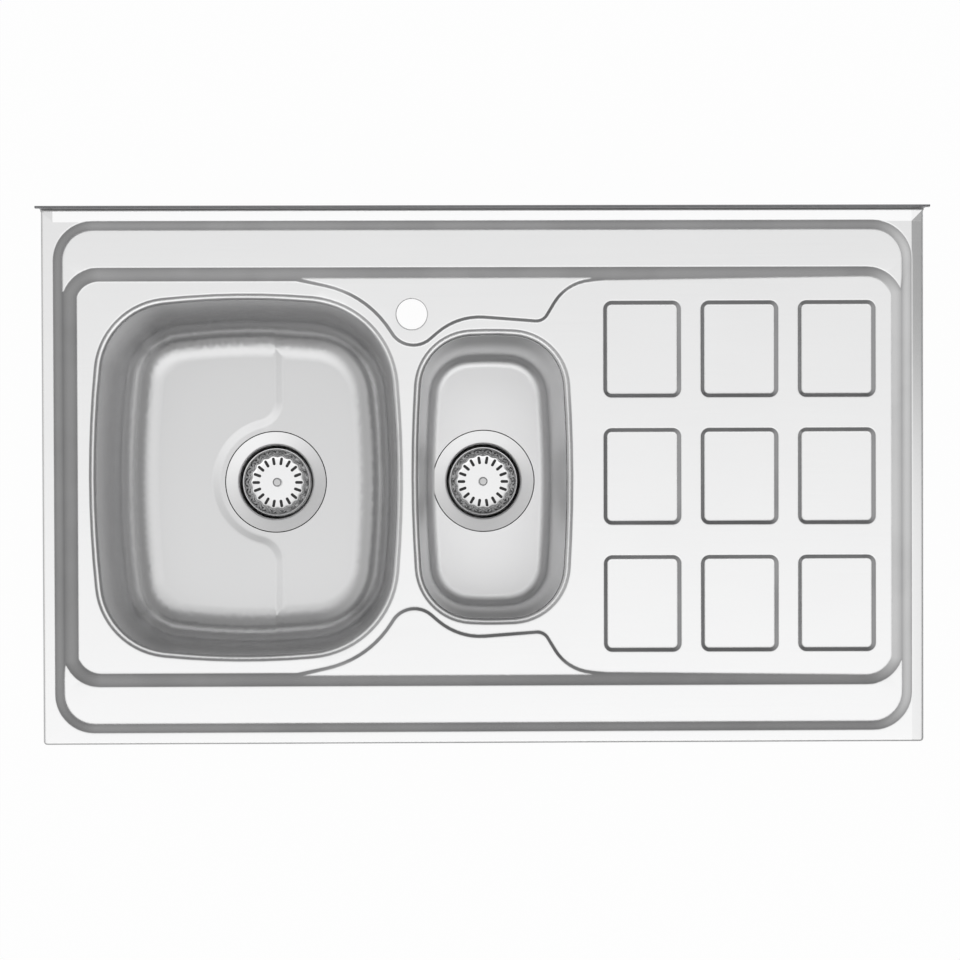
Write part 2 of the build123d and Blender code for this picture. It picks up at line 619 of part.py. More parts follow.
finish(large_bowl_damping_pads.part, "large_bowl_damping_pads")

with BuildPart() as small_bowl_damping_pads:
    small_side = (SMALL_BOWL_X + SMALL_BOWL_LENGTH, 0)
    add(wall_pads(small_bowl_outline, small_side, 2 * SMALL_BOWL_LENGTH, SMALL_WALL_PAD_WIDTH))
finish(small_bowl_damping_pads.part, "small_bowl_damping_pads")

# Channels welded under the drainer, one between each two columns of panels
with BuildPart() as channels:
    with BuildSketch(Plane.XZ):
        with GridLocations(PANEL_PITCH_X, 0, PANEL_COLUMNS - 1, 1):
            with Locations((0, -STIFFENER_HEIGHT / 2)):
                Rectangle(STIFFENER_WIDTH, STIFFENER_HEIGHT)
            with Locations((0, -STIFFENER_HEIGHT / 2 - STIFFENER_SHEET)):
                Rectangle(STIFFENER_WIDTH - 2 * STIFFENER_SHEET, STIFFENER_HEIGHT, mode=Mode.SUBTRACT)
    extrude(amount=FLOOR_HALF_Y - STIFFENER_END_GAP, both=True)
with BuildPart() as drainer_stiffeners:
    add(channels.part.moved(drainer_plane(SHEET + PAD_GLUE_GAP).location))
finish(drainer_stiffeners.part, "drainer_stiffeners")

# Heights in a waste, measured from the bowl floor
CUP_FLOOR = -CUP_DEPTH
CUP_UNDER = CUP_FLOOR - FLANGE_SHEET
THROAT_RADIUS = THROAT_DIAMETER / 2
CUP_OUTER = THROAT_RADIUS + FLANGE_SHEET
FLANGE_RADIUS = FLANGE_DIAMETER / 2
BODY_INNER = CUP_OUTER + BODY_CLEARANCE
BODY_OUTER = BODY_INNER + BODY_WALL
BODY_TOP = seat_z(SEAT_HOLE_RADIUS) - SHEET - BODY_GASKET
FUNNEL_TOP = CUP_UNDER - BODY_CUP_GAP
FUNNEL_BOTTOM = FUNNEL_TOP - FUNNEL_HEIGHT
SOCKET_RADIUS = PIPE_DIAMETER / 2 + PIPE_CLEARANCE
SOCKET_OUTER = SOCKET_RADIUS + SOCKET_WALL
STOP_RADIUS = SOCKET_RADIUS - PIPE_STOP
SOCKET_TOP = FUNNEL_BOTTOM - PIPE_STOP_LENGTH
SOCKET_BOTTOM = SOCKET_TOP - SOCKET_LENGTH
INSERT_RADIUS = SCREW_DIAMETER / 2 + THREAD_GAP + INSERT_WALL
NUT_INNER = SOCKET_OUTER + NUT_CLEARANCE
NUT_OUTER = NUT_INNER + NUT_WALL
NUT_BOTTOM = SOCKET_BOTTOM - WASHER_THICKNESS - 2 * FACE_GAP - NUT_LIP
PLUG_BOTTOM = CUP_FLOOR + PLUG_SEAT_GAP
PLUG_TOP = PLUG_BOTTOM + PLUG_THICKNESS
BASKET_UNDER = PLUG_TOP + FACE_GAP
BASKET_FLOOR = BASKET_UNDER + BASKET_SHEET
BASKET_TOP = BASKET_FLOOR + BASKET_HEIGHT
BASKET_RADIUS = THROAT_RADIUS - BASKET_GAP
BASKET_FLOOR_RADIUS = BASKET_FLOOR_DIAMETER / 2
STEM_RADIUS = PIN_STEM_DIAMETER / 2
PLUG_WEB_UNDER = PLUG_TOP - PLUG_WEB


def flange_under(radius):
    """Height of the flange's lower cone."""
    return seat_z(radius) + FLANGE_GASKET + 2 * FACE_GAP


# A waste fitting and its strainer basket in each bowl
for bowl_name in DRAINS:
    plane = drain_plane(bowl_name)
    axis = drain_axis(bowl_name)
    drain_x, floor_z = DRAINS[bowl_name]

    # Flange: a spun cone and cup with outlet holes and a screw hole
    with BuildPart() as waste_flange:
        lip_top = (THROAT_RADIUS, flange_under(THROAT_RADIUS) + FLANGE_SHEET)
        lip_under = (CUP_OUTER, flange_under(CUP_OUTER))
        cup_inner = (THROAT_RADIUS, CUP_FLOOR)
        cup_outer = (CUP_OUTER, CUP_UNDER)
        revolve(turned(plane, [
            (FLANGE_RADIUS, flange_under(FLANGE_RADIUS)),
            (FLANGE_RADIUS, flange_under(FLANGE_RADIUS) + FLANGE_SHEET), lip_top,
            cup_inner, (SCREW_DIAMETER / 2 + SCREW_FIT, CUP_FLOOR),
            (SCREW_DIAMETER / 2 + SCREW_FIT, CUP_UNDER), cup_outer, lip_under],
            [(lip_top, THROAT_BEND), (lip_under, THROAT_BEND - FLANGE_SHEET),
             (cup_inner, CUP_FOOT), (cup_outer, CUP_FOOT + FLANGE_SHEET)]), axis=axis)
        with BuildSketch(Plane((drain_x, 0, floor_z + CUP_FLOOR))):
            with PolarLocations(OUTLET_HOLE_CIRCLE / 2, OUTLET_HOLES):
                Circle(OUTLET_HOLE_DIAMETER / 2)
        extrude(amount=-2 * FLANGE_SHEET, mode=Mode.SUBTRACT)
    finish(waste_flange.part, bowl_name + "_waste_flange")

    # Gasket between the flange's cone and the seat
    with BuildPart() as flange_gasket:
        gasket_inner = SEAT_HOLE_RADIUS + GASKET_INSET
        gasket_outer = FLANGE_RADIUS - GASKET_INSET
        revolve(turned(plane, [
            (gasket_outer, seat_z(gasket_outer) + FACE_GAP),
            (gasket_outer, seat_z(gasket_outer) + FACE_GAP + FLANGE_GASKET),
            (gasket_inner, seat_z(gasket_inner) + FACE_GAP + FLANGE_GASKET),
            (gasket_inner, seat_z(gasket_inner) + FACE_GAP)]), axis=axis)
    finish(flange_gasket.part, bowl_name + "_flange_gasket")

    # Gasket between the underside of the seat and the plastic body
    with BuildPart() as body_gasket:
        ring_inner = SEAT_HOLE_RADIUS + GASKET_INSET
        ring_outer = BODY_OUTER + BODY_FLANGE_WIDTH - GASKET_INSET
        revolve(turned(plane, [
            (ring_inner, BODY_TOP + FACE_GAP), (ring_outer, BODY_TOP + FACE_GAP),
            (ring_outer, seat_z(ring_outer) - SHEET - 2 * FACE_GAP),
            (ring_inner, seat_z(ring_inner) - SHEET - 2 * FACE_GAP)]), axis=axis)
    finish(body_gasket.part, bowl_name + "_body_gasket")

    # Plastic body: flanged cup, funnel, pipe socket, and a boss on a spider for the clamp screw
    with BuildPart() as waste_body:
        with BuildSketch(Plane((drain_x, 0, floor_z + FUNNEL_TOP))):
            Circle(BOSS_DIAMETER / 2)
            with PolarLocations(0, SPIDER_ARMS // 2, angular_range=180):
                Rectangle(2 * BODY_INNER, SPIDER_THICKNESS)
        extrude(amount=-BOSS_LENGTH)
        revolve(turned(plane, [
            (BODY_INNER, FUNNEL_TOP), (STOP_RADIUS, FUNNEL_BOTTOM), (BODY_OUTER, FUNNEL_BOTTOM),
            (BODY_OUTER, FUNNEL_TOP)]), axis=axis, mode=Mode.SUBTRACT)
        revolve(turned(plane, [
            (BODY_INNER, BODY_TOP), (BODY_OUTER + BODY_FLANGE_WIDTH, BODY_TOP),
            (BODY_OUTER + BODY_FLANGE_WIDTH, BODY_TOP - BODY_FLANGE_THICKNESS),
            (BODY_OUTER, BODY_TOP - BODY_FLANGE_THICKNESS), (BODY_OUTER, FUNNEL_TOP - BODY_WALL / 2),
            (SOCKET_OUTER, FUNNEL_BOTTOM - BODY_WALL / 2), (SOCKET_OUTER, SOCKET_BOTTOM),
            (SOCKET_RADIUS, SOCKET_BOTTOM), (SOCKET_RADIUS, SOCKET_TOP), (STOP_RADIUS, SOCKET_TOP),
            (STOP_RADIUS, FUNNEL_BOTTOM), (BODY_INNER, FUNNEL_TOP)]), axis=axis)
        with BuildSketch(Plane((drain_x, 0, floor_z + FUNNEL_TOP))):
            Circle(INSERT_RADIUS + THREAD_GAP)
        extrude(amount=-BOSS_LENGTH, mode=Mode.SUBTRACT)
    finish(waste_body.part, bowl_name + "_waste_body")

    # Clamp screw with a low slotted head on the cup floor
    with BuildPart() as clamp_screw:
        screw_end = FUNNEL_TOP - BOSS_LENGTH
        revolve(turned(plane, [
            (0, CUP_FLOOR + SCREW_HEAD_HEIGHT), (SCREW_HEAD_DIAMETER / 2, CUP_FLOOR + SCREW_HEAD_HEIGHT),
            (SCREW_HEAD_DIAMETER / 2, CUP_FLOOR + FACE_GAP), (SCREW_DIAMETER / 2, CUP_FLOOR + FACE_GAP),
            (SCREW_DIAMETER / 2, screw_end), (0, screw_end)],
            [((SCREW_HEAD_DIAMETER / 2, CUP_FLOOR + SCREW_HEAD_HEIGHT), SCREW_HEAD_ROUND)]), axis=axis)
        with BuildSketch(Plane((drain_x, 0, floor_z + CUP_FLOOR + SCREW_HEAD_HEIGHT))):
            Rectangle(SCREW_HEAD_DIAMETER, SCREW_SLOT)
        extrude(amount=-SCREW_SLOT_DEPTH, mode=Mode.SUBTRACT)
    finish(clamp_screw.part, bowl_name + "_clamp_screw")

    # Brass insert in the boss
    with BuildPart() as screw_insert:
        with BuildSketch(Plane((drain_x, 0, floor_z + FUNNEL_TOP))):
            Circle(INSERT_RADIUS)
            Circle(SCREW_DIAMETER / 2 + THREAD_GAP, mode=Mode.SUBTRACT)
        extrude(amount=-BOSS_LENGTH)
    finish(screw_insert.part, bowl_name + "_screw_insert")

    # Coupling nut with grip ribs round the pipe socket
    with BuildPart() as outlet_nut:
        nut_bore = PIPE_DIAMETER / 2 + NUT_BORE_CLEARANCE
        nut_top = NUT_BOTTOM + NUT_HEIGHT
        revolve(turned(plane, [
            (nut_bore, NUT_BOTTOM), (NUT_OUTER, NUT_BOTTOM), (NUT_OUTER, nut_top), (NUT_INNER, nut_top),
            (NUT_INNER, NUT_BOTTOM + NUT_LIP), (nut_bore, NUT_BOTTOM + NUT_LIP)],
            [((NUT_OUTER, NUT_BOTTOM), NUT_ROUND), ((NUT_OUTER, nut_top), NUT_ROUND)]), axis=axis)
        with BuildSketch(Plane((drain_x, 0, floor_z + NUT_BOTTOM + NUT_RIB_SIZE / 2))):
            with PolarLocations(NUT_OUTER, NUT_RIBS):
                RectangleRounded(NUT_RIB_SIZE, 2 * NUT_RIB_SIZE, NUT_ROUND)
        extrude(amount=NUT_HEIGHT - NUT_RIB_SIZE)
    finish(outlet_nut.part, bowl_name + "_outlet_nut")

    # Rubber washer between the socket's end and the nut's lip
    with BuildPart() as outlet_washer:
        with BuildSketch(Plane((drain_x, 0, floor_z + SOCKET_BOTTOM - FACE_GAP))):
            Circle(SOCKET_OUTER)
            Circle(SOCKET_RADIUS, mode=Mode.SUBTRACT)
        extrude(amount=-WASHER_THICKNESS)
    finish(outlet_washer.part, bowl_name + "_outlet_washer")

    # Basket: a pressed cup with a rolled rim and a ring of radial slots
    with BuildPart() as basket:
        foot_in = (BASKET_FLOOR_RADIUS, BASKET_FLOOR)
        foot_out = (BASKET_FLOOR_RADIUS + BASKET_SHEET / 2, BASKET_UNDER)
        revolve(turned(plane, [
            (BASKET_RADIUS - BASKET_RIM_ROLL, BASKET_TOP), (BASKET_RADIUS, BASKET_TOP),
            (BASKET_RADIUS, BASKET_TOP - BASKET_RIM_ROLL),
            (BASKET_RADIUS - BASKET_RIM_ROLL + BASKET_SHEET, BASKET_TOP - BASKET_RIM_ROLL), foot_out,
            (STEM_RADIUS + PIN_FIT, BASKET_UNDER), (STEM_RADIUS + PIN_FIT, BASKET_FLOOR), foot_in],
            [(foot_in, BASKET_FOOT), (foot_out, BASKET_FOOT + BASKET_SHEET),
             ((BASKET_RADIUS, BASKET_TOP), BASKET_SHEET / 2)]), axis=axis)
        with BuildSketch(Plane((drain_x, 0, floor_z + BASKET_UNDER - BASKET_SHEET))):
            with PolarLocations((BASKET_SLOT_INNER + BASKET_SLOT_OUTER) / 2, BASKET_SLOTS):
                SlotOverall(BASKET_SLOT_OUTER - BASKET_SLOT_INNER, BASKET_SLOT_WIDTH)
        extrude(amount=BASKET_HEIGHT / 2, mode=Mode.SUBTRACT)
    finish(basket.part, bowl_name + "_basket")

    # Pull pin: a domed head on a stem that passes through basket, plug and nut
    with BuildPart() as basket_pin:
        pin_radius = PIN_DIAMETER / 2
        pin_top = BASKET_FLOOR + FACE_GAP + PIN_HEIGHT
        stem_end = PLUG_WEB_UNDER - BASKET_NUT_HEIGHT - FACE_GAP
        revolve(turned(plane, [
            (0, pin_top), (pin_radius, pin_top), (pin_radius, BASKET_FLOOR + FACE_GAP),
            (STEM_RADIUS, BASKET_FLOOR + FACE_GAP), (STEM_RADIUS, stem_end), (0, stem_end)],
            [((pin_radius, pin_top), PIN_DOME)]), axis=axis)
    finish(basket_pin.part, bowl_name + "_basket_pin")

    # Rubber plug under the basket, hollow over the screw head
    with BuildPart() as basket_plug:
        revolve(turned(plane, [
            (STEM_RADIUS + PIN_FIT, PLUG_TOP), (PLUG_DIAMETER / 2 - PLUG_CHAMFER, PLUG_TOP),
            (PLUG_DIAMETER / 2, PLUG_TOP - PLUG_CHAMFER), (PLUG_DIAMETER / 2, PLUG_BOTTOM),
            (PLUG_RECESS_DIAMETER / 2, PLUG_BOTTOM), (PLUG_RECESS_DIAMETER / 2, PLUG_WEB_UNDER),
            (STEM_RADIUS + PIN_FIT, PLUG_WEB_UNDER)]), axis=axis)
    finish(basket_plug.part, bowl_name + "_basket_plug")

    # Nut that holds plug and basket on the pin
    with BuildPart() as basket_nut:
        with BuildSketch(Plane((drain_x, 0, floor_z + PLUG_WEB_UNDER - FACE_GAP))):
            RegularPolygon(BASKET_NUT_DIAMETER / 2, BASKET_NUT_SIDES)
            Circle(STEM_RADIUS + THREAD_GAP, mode=Mode.SUBTRACT)
        extrude(amount=-BASKET_NUT_HEIGHT)
    finish(basket_nut.part, bowl_name + "_basket_nut")
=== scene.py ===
import math

import bpy
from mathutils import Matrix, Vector


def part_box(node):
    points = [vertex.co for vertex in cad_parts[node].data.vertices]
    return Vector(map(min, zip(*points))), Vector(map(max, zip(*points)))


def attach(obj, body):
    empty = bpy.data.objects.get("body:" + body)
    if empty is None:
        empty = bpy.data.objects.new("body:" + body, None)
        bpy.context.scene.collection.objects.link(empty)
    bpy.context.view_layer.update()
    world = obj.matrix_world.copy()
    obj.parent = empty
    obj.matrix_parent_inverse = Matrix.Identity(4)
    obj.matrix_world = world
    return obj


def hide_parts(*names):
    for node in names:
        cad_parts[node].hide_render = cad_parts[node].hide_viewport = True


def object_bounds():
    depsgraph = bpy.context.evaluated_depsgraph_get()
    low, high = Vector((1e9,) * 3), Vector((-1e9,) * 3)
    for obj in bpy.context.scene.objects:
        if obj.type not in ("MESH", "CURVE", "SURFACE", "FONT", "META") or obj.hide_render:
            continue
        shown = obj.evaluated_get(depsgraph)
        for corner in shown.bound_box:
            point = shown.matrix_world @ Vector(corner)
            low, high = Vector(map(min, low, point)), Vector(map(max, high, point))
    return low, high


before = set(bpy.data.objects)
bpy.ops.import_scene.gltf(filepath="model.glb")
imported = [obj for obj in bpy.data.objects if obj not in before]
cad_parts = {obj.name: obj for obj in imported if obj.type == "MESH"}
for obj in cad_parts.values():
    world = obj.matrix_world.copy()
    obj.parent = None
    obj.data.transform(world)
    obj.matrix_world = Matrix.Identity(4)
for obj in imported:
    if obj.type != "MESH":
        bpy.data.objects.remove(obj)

cad_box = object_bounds()


# Deck: one sheet of stainless steel, pressed into rim, steps, platforms and drainer panels, turned down at
# the front and sides and up to a thin lip at the back. Its satin grain runs along the sink, and its slopes
# are painted darker, as painted shade.
class Shade:
    """A socket in a node tree. Arithmetic on it adds Math nodes, and node() adds any other node."""

    def __init__(self, tree, socket=None):
        self.tree = tree
        self.socket = socket

    def node(self, kind, settings, sockets, output=0):
        """Add a node: its settings first, then the values or links of its sockets."""
        added = self.tree.nodes.new(kind)
        for name, value in settings.items():
            setattr(added, name, value)
        for name, value in sockets.items():
            if isinstance(value, Shade):
                self.tree.links.new(value.socket, added.inputs[name])
            else:
                added.inputs[name].default_value = value
        return Shade(self.tree, added.outputs[output])

    def math(self, operation, *values):
        """Add a Math node."""
        return self.node("ShaderNodeMath", {"operation": operation}, dict(enumerate(values)))

    def __add__(self, other):
        return self.math("ADD", self, other)

    def __radd__(self, other):
        return self.math("ADD", other, self)

    def __sub__(self, other):
        return self.math("SUBTRACT", self, other)

    def __rsub__(self, other):
        return self.math("SUBTRACT", other, self)

    def __mul__(self, other):
        return self.math("MULTIPLY", self, other)

    def __rmul__(self, other):
        return self.math("MULTIPLY", other, self)

    def __truediv__(self, other):
        return self.math("DIVIDE", self, other)

    def __rtruediv__(self, other):
        return self.math("DIVIDE", other, self)


def new_finish(name):
    """A material with a bare Principled shader, the shader's node and a Shade to build its pattern with."""
    finish = bpy.data.materials.new(name)
    finish.use_nodes = True
    shader = finish.node_tree.nodes["Principled BSDF"]
    return finish, shader, Shade(finish.node_tree)


def noise(shade, stretch, scale, detail):
    """Noise on the piece's own metres, stretched along each axis."""
    place = shade.node("ShaderNodeTexCoord", {}, {}, "Object")
    drawn = shade.node("ShaderNodeMapping", {}, {"Vector": place, "Scale": stretch})
    return shade.node("ShaderNodeTexNoise", {}, {"Vector": drawn, "Scale": scale, "Detail": detail})


def mixed(shade, mask, at_zero, at_one):
    """A colour between two, by a mask from 0 to 1."""
    return shade.node("ShaderNodeMix", {"data_type": "RGBA"}, {"Factor": mask, 6: at_zero, 7: at_one}, 2)


def bumped(shade, height, depth, strength):
    """A normal from a height, whose whole range is that deep in metres."""
    return shade.node("ShaderNodeBump", {}, {"Height": height, "Distance": depth, "Strength": strength})


def fades(shade, value, start, end):
    """From 0 to 1, smoothly, as a value goes from start to end."""
    return shade.node("ShaderNodeMapRange", {"interpolation_type": "SMOOTHSTEP"},
                      {0: value, 1: start, 2: end, 3: 0.0, 4: 1.0})


def along_axis(shade, axis):
    """The piece's own x, y or z, in metres."""
    place = shade.node("ShaderNodeTexCoord", {}, {}, "Object")
    return shade.node("ShaderNodeSeparateXYZ", {}, {0: place}, axis)


def facing(shade, axis):
    """How far the surface faces along x, y or z, from -1 to 1."""
    normal = shade.node("ShaderNodeNewGeometry", {}, {}, "Normal")
    return shade.node("ShaderNodeSeparateXYZ", {}, {0: normal}, axis)


def link(node, name, shade):
    """Feed one of a node's sockets."""
    shade.tree.links.new(shade.socket, node.inputs[name])


def linked(node, name):
    """What already feeds one of a node's sockets."""
    return Shade(node.id_data, node.inputs[name].links[0].from_socket)


def brushed_steel(name, grain, tone, roughness, spread, relief=0.00002):
    """Stainless steel with a fine drawn grain, faint cloudy patches and a slightly uneven shine."""
    finish, shader, shade = new_finish(name)
    fine = noise(shade, grain, scale=1.0, detail=4.0)
    cloudy = noise(shade, (1.0, 1.0, 1.0), scale=9.0, detail=3.0)
    uneven = fine * 0.6 + cloudy * 0.4
    dark = (tone * 0.95, tone * 0.95, tone * 0.955, 1.0)
    light = (tone * 1.03, tone * 1.03, tone * 1.03, 1.0)
    shader.inputs["Metallic"].default_value = 1.0
    link(shader, "Base Color", mixed(shade, uneven, dark, light))
    link(shader, "Roughness", (uneven - 0.5) * spread + roughness)
    link(shader, "Normal", bumped(shade, fine, depth=relief, strength=0.25))
    return finish


MERGE_DISTANCE = 0.00001
CREASE_ANGLE = math.radians(30.0)


def smooth_copy(node):
    """A copy of a CAD node's mesh with its loose triangles merged and smoothed, which stands for the node."""
    bpy.ops.object.select_all(action="DESELECT")
    piece = bpy.data.objects.new(node + "_finished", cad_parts[node].data.copy())
    bpy.context.scene.collection.objects.link(piece)
    bpy.context.view_layer.objects.active = piece
    piece.select_set(True)
    bpy.ops.object.mode_set(mode="EDIT")
    bpy.ops.mesh.select_all(action="SELECT")
    bpy.ops.mesh.remove_doubles(threshold=MERGE_DISTANCE)
    bpy.ops.object.mode_set(mode="OBJECT")
    if piece.data.has_custom_normals:
        bpy.ops.mesh.customdata_custom_splitnormals_clear()
    bpy.ops.object.shade_smooth_by_angle(angle=CREASE_ANGLE)
    bpy.ops.object.modifier_add(type="WEIGHTED_NORMAL")
    piece.modifiers[-1].keep_sharp = True
    bpy.ops.object.modifier_apply(modifier=piece.modifiers[-1].name)
    return piece


def stand_for(piece, node, finish, body):
    """Dress a finished piece and put it in its CAD node's place."""
    piece.data.materials.clear()
    piece.data.materials.append(finish)
    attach(piece, body)
    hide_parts(node)


DECK_GRAIN = (6.0, 900.0, 900.0)
deck_low, deck_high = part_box("sink_deck")
deck_finish = brushed_steel("deck_satin_steel", DECK_GRAIN, tone=0.80, roughness=0.20, spread=0.10)
deck_shader = deck_finish.node_tree.nodes["Principled BSDF"]
shade = Shade(deck_finish.node_tree)

# The hem along the top of the back lip is the sheet's cut and folded edge. It is duller, and painted dark as
# painted shade.
HEM_DEPTH = 0.0028
HEM_FADE = 0.0003
HEM_PAINTED_SHADE = (0.26, 0.26, 0.27, 1.0)
HEM_DULLNESS = 0.2
hem_start = deck_high.y - HEM_DEPTH
hem = fades(shade, along_axis(shade, 1), hem_start, hem_start + HEM_FADE)
link(deck_shader, "Base Color", mixed(shade, hem, linked(deck_shader, "Base Color"), HEM_PAINTED_SHADE))
link(deck_shader, "Roughness", linked(deck_shader, "Roughness") + hem * HEM_DULLNESS)

# Every slope is painted darker as painted shade, faintly round the bowls and strongly on panels
# and platforms. On the two steps round the deck it is strongest at their bends and fainter half way up.
SLOPE_PAINTED_SHADE = (0.28, 0.28, 0.285, 1.0)
SHADE_ON_SLOPES = 0.35
SHADE_ON_RAISED = 0.42
SHADE_IN_PATCHES = 0.12
LESS_SHADE_ON_STEPS = 0.25
LESS_SHADE_HALF_WAY_UP = 0.45
LEVEL_FACING = 0.97
SLOPE_FACING = 0.90
DRAINER_LEVEL = 0.015
LEDGE_LEVEL = 0.027
RIM_LEVEL = 0.035
PATCH_GRAIN = (11.0, 11.0, 11.0)
PATCHES_FROM = 0.40
PATCHES_FULL = 0.64
STEPS_FROM_X = 0.452
STEPS_FULL_X = 0.460
STEPS_FROM_Y = 0.206
STEPS_FULL_Y = 0.214
PANELS_FROM_X = 0.095
PANELS_FULL_X = 0.105
PLATFORMS_FROM_Z = 0.0147
PLATFORMS_FULL_Z = 0.0152
slope = fades(shade, facing(shade, 2), LEVEL_FACING, SLOPE_FACING)
half_way_up = 0.0
for foot, crest in ((DRAINER_LEVEL, LEDGE_LEVEL), (LEDGE_LEVEL, RIM_LEVEL)):
    climb = (along_axis(shade, 2) - foot) / (crest - foot)
    half_way_up = shade.math("MAXIMUM", 4.0 * climb * (1.0 - climb), half_way_up)
patches = fades(shade, noise(shade, PATCH_GRAIN, scale=1.0, detail=3.0), PATCHES_FROM, PATCHES_FULL)
end_steps = fades(shade, shade.math("ABSOLUTE", along_axis(shade, 0)), STEPS_FROM_X, STEPS_FULL_X)
long_steps = fades(shade, shade.math("ABSOLUTE", along_axis(shade, 1)), STEPS_FROM_Y, STEPS_FULL_Y)
steps = shade.math("MAXIMUM", end_steps, long_steps)
panels = fades(shade, along_axis(shade, 0), PANELS_FROM_X, PANELS_FULL_X)
platforms = fades(shade, along_axis(shade, 2), PLATFORMS_FROM_Z, PLATFORMS_FULL_Z)
raised = shade.math("MAXIMUM", panels, platforms)
spared = steps * (LESS_SHADE_ON_STEPS + LESS_SHADE_HALF_WAY_UP * half_way_up)
painted_shade = slope * (SHADE_ON_SLOPES + SHADE_ON_RAISED * raised + SHADE_IN_PATCHES * patches - spared)

# The punched edge of the tap hole is painted dark too, as painted shade.
TAP_X = -0.0812
TAP_Y = 0.1857
TAP_EDGE_INNER = 0.0177
TAP_EDGE_OUTER = 0.0184
SHADE_ON_TAP_EDGE = 0.7
from_tap_x = along_axis(shade, 0) - TAP_X
from_tap_y = along_axis(shade, 1) - TAP_Y
from_tap = shade.math("SQRT", from_tap_x * from_tap_x + from_tap_y * from_tap_y)
tap_edge = fades(shade, from_tap, TAP_EDGE_OUTER, TAP_EDGE_INNER)
painted_shade = shade.math("MAXIMUM", painted_shade, tap_edge * SHADE_ON_TAP_EDGE)
link(deck_shader, "Base Color", mixed(shade, painted_shade, linked(deck_shader, "Base Color"), SLOPE_PAINTED_SHADE))

# Pressed edges are soft: their rounded normal goes under the grain's bump.
EDGE_RADIUS = 0.0025
EDGE_SAMPLES = 6
soft = shade.node("ShaderNodeBevel", {"samples": EDGE_SAMPLES}, {"Radius": EDGE_RADIUS})
link(linked(deck_shader, "Normal").socket.node, "Normal", soft)

# The right rim falls outwards a little, most of all towards the back corner, and the back rim falls forwards.
# They meet on a mitre at the corners. The ends of the back lip stand out past the rim.
RIM_WIDTH = 0.0135
LIP_OVERHANG = 0.004
RIGHT_FALL = 0.14
CORNER_FALL = 0.12
CORNER_FROM_Y = -0.1
CORNER_FULL_Y = 0.25
BACK_FALL = 0.13
right = shade.math("MAXIMUM", along_axis(shade, 0) - (deck_high.x - LIP_OVERHANG - RIM_WIDTH), 0.0)
left = shade.math("MAXIMUM", deck_low.x + LIP_OVERHANG + RIM_WIDTH - along_axis(shade, 0), 0.0)
back = shade.math("MAXIMUM", along_axis(shade, 1) - (hem_start - RIM_WIDTH), 0.0)
outward = shade.math("MAXIMUM", right - back, 0.0)
backward = shade.math("MAXIMUM", back - right - left, 0.0)
fall = RIGHT_FALL + CORNER_FALL * fades(shade, along_axis(shade, 1), CORNER_FROM_Y, CORNER_FULL_Y)
tilted = {"Height": backward * BACK_FALL - outward * fall, "Distance": 1.0, "Strength": 1.0,
          "Normal": linked(deck_shader, "Normal")}
link(deck_shader, "Normal", shade.node("ShaderNodeBump", {}, tilted))
stand_for(smooth_copy("sink_deck"), "sink_deck", deck_finish, "sink")


# Bowls: deep-drawn from the same steel and welded to the deck's collars from below. The draw leaves
# a duller, finer satin on them than on the deck. Their tone carries painted light and shade.
BOWL_GRAIN = (2200.0, 2200.0, 120.0)
BOWL_RELIEF = 0.000003
# The walls are painted lighter from these heights, and painted darker towards the rim from these depths.
WALL_FROM_HEIGHT = 0.010
WALL_FULL_HEIGHT = 0.030
SHADE_FROM_DEPTH = 0.14
SHADE_FULL_DEPTH = 0.035


def grey(tone):
    """The colour of bare steel of that tone, very slightly cool."""
    return (tone, tone, tone * 1.005, 1.0)


def drawn_steel(bowl, painted_floor_tone, painted_wall_tone, painted_side_shade, painted_end_shade, roughness):
    """Satin steel of a drawn bowl, with painted light and shade: its walls are painted lighter low down than
    the floor, and painted darker towards the rim, the front and back walls more than the sides."""
    finish = brushed_steel(bowl + "_satin_steel", BOWL_GRAIN, painted_wall_tone, roughness, spread=0.08,
                           relief=BOWL_RELIEF)
    shader = finish.node_tree.nodes["Principled BSDF"]
    shade = Shade(finish.node_tree)
    low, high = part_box(bowl)
    wall = fades(shade, along_axis(shade, 2), low.z + WALL_FROM_HEIGHT, low.z + WALL_FULL_HEIGHT)
    rim = fades(shade, along_axis(shade, 2), high.z - SHADE_FROM_DEPTH, high.z - SHADE_FULL_DEPTH)
    lengthwise = facing(shade, 1)
    rim_painted_shade = mixed(shade, lengthwise * lengthwise, grey(painted_side_shade), grey(painted_end_shade))
    wall_painted_tone = mixed(shade, rim, linked(shader, "Base Color"), rim_painted_shade)
    link(shader, "Base Color", mixed(shade, wall, grey(painted_floor_tone), wall_painted_tone))
    return finish


# Each bowl's tones are painted light and shade: floor, walls low down, and side and end walls near the rim.
large_finish = drawn_steel("large_bowl", painted_floor_tone=0.64, painted_wall_tone=0.94, painted_side_shade=0.51, painted_end_shade=0.37,
                           roughness=0.26)
small_finish = drawn_steel("small_bowl", painted_floor_tone=0.80, painted_wall_tone=0.92, painted_side_shade=0.78, painted_end_shade=0.16,
                           roughness=0.36)
stand_for(smooth_copy("large_bowl"), "large_bowl", large_finish, "sink")
stand_for(smooth_copy("small_bowl"), "small_bowl", small_finish, "sink")


# Damping pads: sheets of black bitumen glued to the outside of the bowls to quieten them.
# Their face is matt and grainy, with paler dust in speckles and patches.
def grainy(name, dark, light, grain, depth, roughness):
    """A dull moulded or pressed material: speckled tone, uneven dullness and a fine rough surface."""
    finish, shader, shade = new_finish(name)
    speck = noise(shade, (1.0, 1.0, 1.0), scale=grain, detail=5.0)
    patch = noise(shade, (1.0, 1.0, 1.0), scale=grain / 25.0, detail=2.0)
    link(shader, "Base Color", mixed(shade, speck * 0.5 + patch * 0.5, dark, light))
    link(shader, "Roughness", (speck - 0.5) * 0.2 + roughness)
    link(shader, "Normal", bumped(shade, speck, depth, strength=0.6))
    return finish


